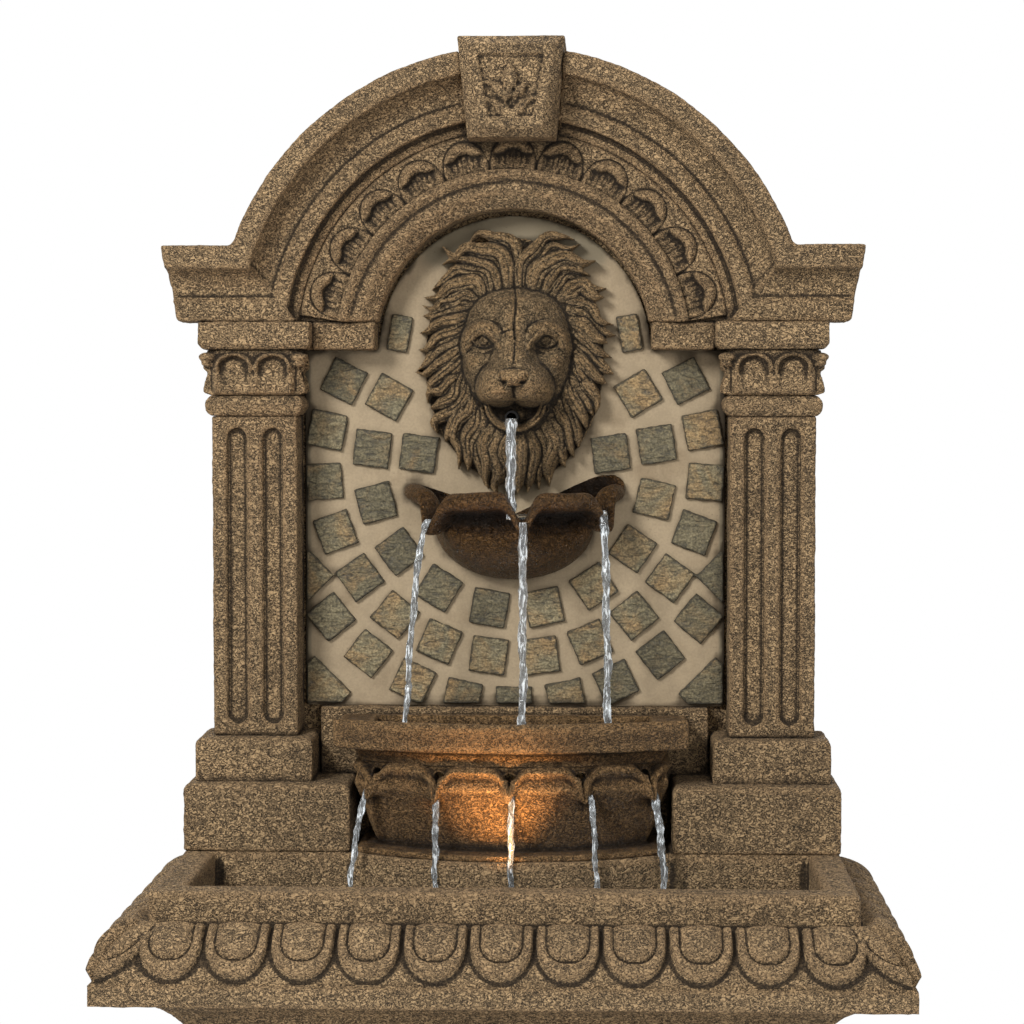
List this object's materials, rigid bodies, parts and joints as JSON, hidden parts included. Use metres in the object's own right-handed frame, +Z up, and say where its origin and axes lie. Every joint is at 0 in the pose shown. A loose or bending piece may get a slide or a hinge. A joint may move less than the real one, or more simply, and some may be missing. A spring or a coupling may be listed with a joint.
{
  "type": "lion head floor fountain",
  "caption": "Free-standing arched wall fountain with a lion head spout, mosaic back panel, scalloped bowls and a moulded basin on a pedestal.",
  "frame": {"origin": "middle of the floor outline, at the underside of the floor pads", "axes": "+X to the viewer's right, +Y from the front towards the back, +Z up"},
  "size_m": [0.784, 0.432, 1.27],
  "materials": {
    "cast_stone": "weathered matt",
    "grout": "matt",
    "slate": "riven matt",
    "rear_plastic": "matt",
    "rubber": "matt",
    "hose_vinyl": "satin",
    "steel": "brushed",
    "dark_plastic": "matt",
    "lens_glass": "clear",
    "led_board": "matt"
  },
  "bodies": {
    "fountain": {"pedestal": "cast_stone", "basin": "cast_stone", "egg_ornaments": "cast_stone", "wall_core": "cast_stone", "lower_plinth_left": "cast_stone", "upper_plinth_left": "cast_stone", "column_left": "cast_stone", "necking_left": "cast_stone", "capital_left": "cast_stone", "abacus_left": "cast_stone", "impost_left": "cast_stone", "lower_plinth_right": "cast_stone", "upper_plinth_right": "cast_stone", "column_right": "cast_stone", "necking_right": "cast_stone", "capital_right": "cast_stone", "abacus_right": "cast_stone", "impost_right": "cast_stone", "arch_moulding": "cast_stone", "cornice_left": "cast_stone", "cornice_right": "cast_stone", "keystone": "cast_stone", "leaf_ornaments": "cast_stone", "lion_mask": "cast_stone", "upper_bowl": "cast_stone", "apron": "cast_stone", "spout_bowl": "cast_stone", "shelf_rim": "cast_stone", "tile_panel": "grout", "mosaic_tiles": "slate", "rear_cover": "rear_plastic", "floor_pads": "rubber", "cable_gland": "rubber", "pump_feet": "rubber", "supply_hose": "hose_vinyl", "hose_clamps": "steel", "cover_screws": "steel", "wall_bolts": "steel", "wall_nuts": "steel", "mask_bolts": "steel", "hinge_leaves_fixed": "steel", "hinge_pins": "steel", "door_magnet": "dark_plastic", "mouth_spout": "dark_plastic", "pump_housing": "dark_plastic", "pump_cover": "dark_plastic", "impeller_shaft": "steel", "light_yoke": "steel"},
    "impeller": {"impeller": "dark_plastic"},
    "flow_knob": {"flow_knob": "dark_plastic"},
    "lamp_head": {"light_housing": "dark_plastic", "light_lens": "lens_glass", "light_bezel": "dark_plastic", "light_emitter": "led_board", "light_pivots": "steel"},
    "service_door": {"access_door": "rear_plastic", "hinge_leaves_door": "steel", "door_pull": "rear_plastic", "door_strike": "steel"},
    "drain_plug": {"drain_plug": "rubber"}
  },
  "joints": [
    {"name": "impeller_spin", "type": "hinge", "parent": "fountain", "child": "impeller", "pos_m": [0, 0.164, 0.373], "axis": [1, 0, 0], "continuous": true},
    {"name": "flow_knob_turn", "type": "hinge", "parent": "fountain", "child": "flow_knob", "pos_m": [0, 0.177, 0.36], "axis": [1, 0, 0], "range_deg": [0, 90]},
    {"name": "light_tilt", "type": "hinge", "parent": "fountain", "child": "lamp_head", "pos_m": [0, -0.07375, 0.377], "axis": [1, 0, 0], "range_deg": [-25, 25]},
    {"name": "door_swing", "type": "hinge", "parent": "fountain", "child": "service_door", "pos_m": [-0.084, 0.205, 0.547], "axis": [0, 0, 1], "range_deg": [0, 110]},
    {"name": "drain_plug_lift", "type": "slide", "parent": "fountain", "child": "drain_plug", "axis": [0, 0, 1], "range_m": [0, 0.08]}
  ]
}
